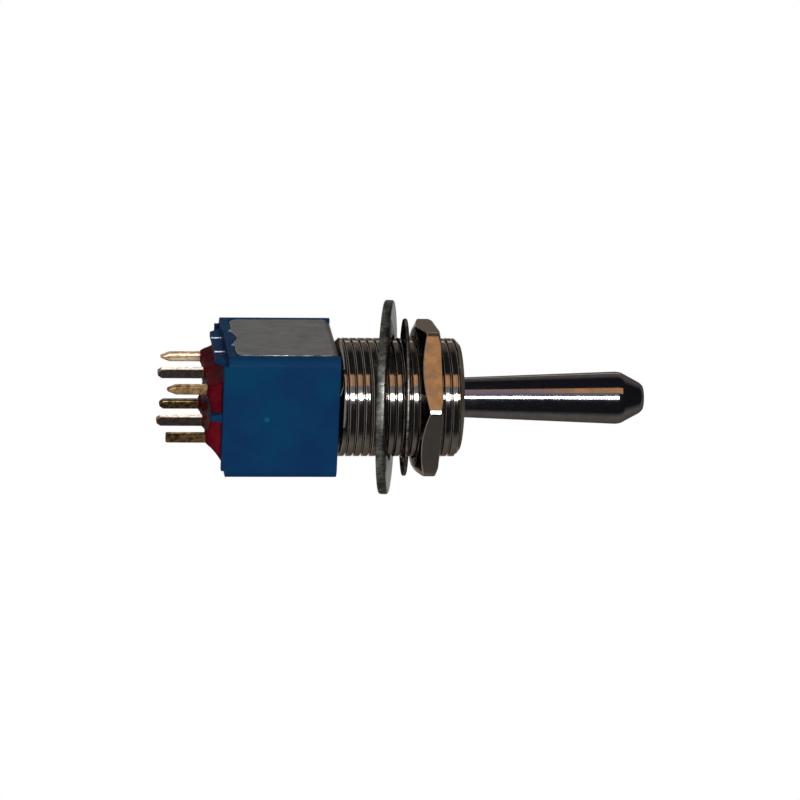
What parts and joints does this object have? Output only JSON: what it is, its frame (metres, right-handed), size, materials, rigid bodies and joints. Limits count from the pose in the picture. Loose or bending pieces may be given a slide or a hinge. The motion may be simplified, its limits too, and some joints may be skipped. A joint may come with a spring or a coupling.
{
  "type": "momentary toggle switch",
  "caption": "Momentary double-pole toggle switch with a bat lever, a threaded panel bushing and circuit board pins.",
  "frame": {"origin": "bushing axis where it meets the frame's face, which seats against a panel", "axes": "+Z along the bushing towards the lever's tip, +Y along the lever's throw, +X across the poles"},
  "size_m": [0.0196, 0.0194, 0.0491],
  "materials": {
    "housing_plastic": "moulded, slightly glossy",
    "frame_steel": "dull rolled sheet",
    "plated_brass": "bright dark nickel plate over brass",
    "plated_steel": "bright plate, sheared rims",
    "steel": "plain",
    "seal_rubber": "matte",
    "nylon": "plain moulded",
    "gold_plate": "bright gold plate",
    "epoxy": "cast resin"
  },
  "bodies": {
    "case": {"housing": "housing_plastic", "frame": "frame_steel", "bushing": "plated_brass", "terminal_left_front": "gold_plate", "terminal_left_common": "gold_plate", "terminal_left_rear": "gold_plate", "terminal_right_front": "gold_plate", "terminal_right_common": "gold_plate", "terminal_right_rear": "gold_plate", "epoxy_seal": "epoxy", "panel_washer": "plated_steel", "lock_washer": "plated_steel", "hex_nut": "plated_brass"},
    "lever": {"lever": "plated_brass", "lever_pivot_pin": "steel", "lever_seal": "seal_rubber", "actuator": "nylon", "plunger_spring_left": "steel", "plunger_spring_right": "steel"},
    "plunger_left": {"plunger_left": "nylon"},
    "plunger_right": {"plunger_right": "nylon"},
    "rocker_left": {"rocker_left": "gold_plate"},
    "rocker_right": {"rocker_right": "gold_plate"}
  },
  "joints": [
    {"name": "lever_tilt", "type": "hinge", "parent": "case", "child": "lever", "pos_m": [0, 0, 0.0034], "axis": [1, 0, 0], "range_deg": [-12.5, 12.5], "stiffness_Nm_per_rad": 0.12},
    {"name": "plunger_left_slide", "type": "slide", "parent": "lever", "child": "plunger_left", "axis": [0, 0, 1], "range_m": [0, 0.0005], "stiffness_N_per_m": 300, "springref_m": -0.0012, "deforming": ["plunger_spring_left"]},
    {"name": "plunger_right_slide", "type": "slide", "parent": "lever", "child": "plunger_right", "axis": [0, 0, 1], "range_m": [0, 0.0005], "stiffness_N_per_m": 300, "springref_m": -0.0012, "deforming": ["plunger_spring_right"]},
    {"name": "rocker_left_tilt", "type": "hinge", "parent": "case", "child": "rocker_left", "pos_m": [-0.00254, 0, -0.00698], "axis": [1, 0, 0], "range_deg": [-6.1, 6.1]},
    {"name": "rocker_right_tilt", "type": "hinge", "parent": "case", "child": "rocker_right", "pos_m": [0.00254, 0, -0.00698], "axis": [1, 0, 0], "range_deg": [-6.1, 6.1]}
  ],
  "couplings": [
    {"joint": "rocker_left_tilt", "follows": "lever_tilt", "ratio": -0.48},
    {"joint": "rocker_right_tilt", "follows": "lever_tilt", "ratio": -0.48}
  ]
}
